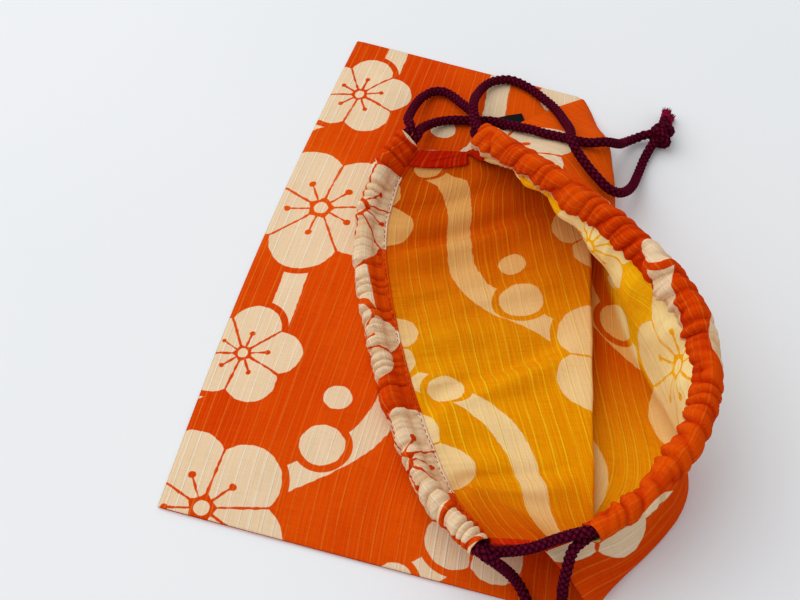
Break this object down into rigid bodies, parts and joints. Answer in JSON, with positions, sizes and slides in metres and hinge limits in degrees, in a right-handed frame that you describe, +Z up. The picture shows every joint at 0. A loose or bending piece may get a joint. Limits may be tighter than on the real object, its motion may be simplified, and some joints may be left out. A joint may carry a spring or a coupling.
{
  "type": "drawstring pouch",
  "caption": "Flat cotton drawstring pouch with gathered casings, lying with its mouth open and lip folded back, closed by knotted braided cords.",
  "frame": {"origin": "under the middle of the cloth, on the surface that the pouch lies on", "axes": "+X from the bottom fold towards the mouth, +Y along the bottom fold from the near to the far side seam, +Z up"},
  "size_m": [0.2635, 0.3173, 0.0658],
  "materials": {
    "printed_cotton": "matt slub cotton with a pale print",
    "black_tape": "matt woven tape",
    "braided_cord": "round braid with a slight sheen"
  },
  "bodies": {
    "root": {"pouch_cloth": "printed_cotton", "label_tab": "black_tape", "far_drawstring": "braided_cord", "near_drawstring": "braided_cord", "far_knot": "braided_cord", "near_knot": "braided_cord"}
  },
  "joints": []
}
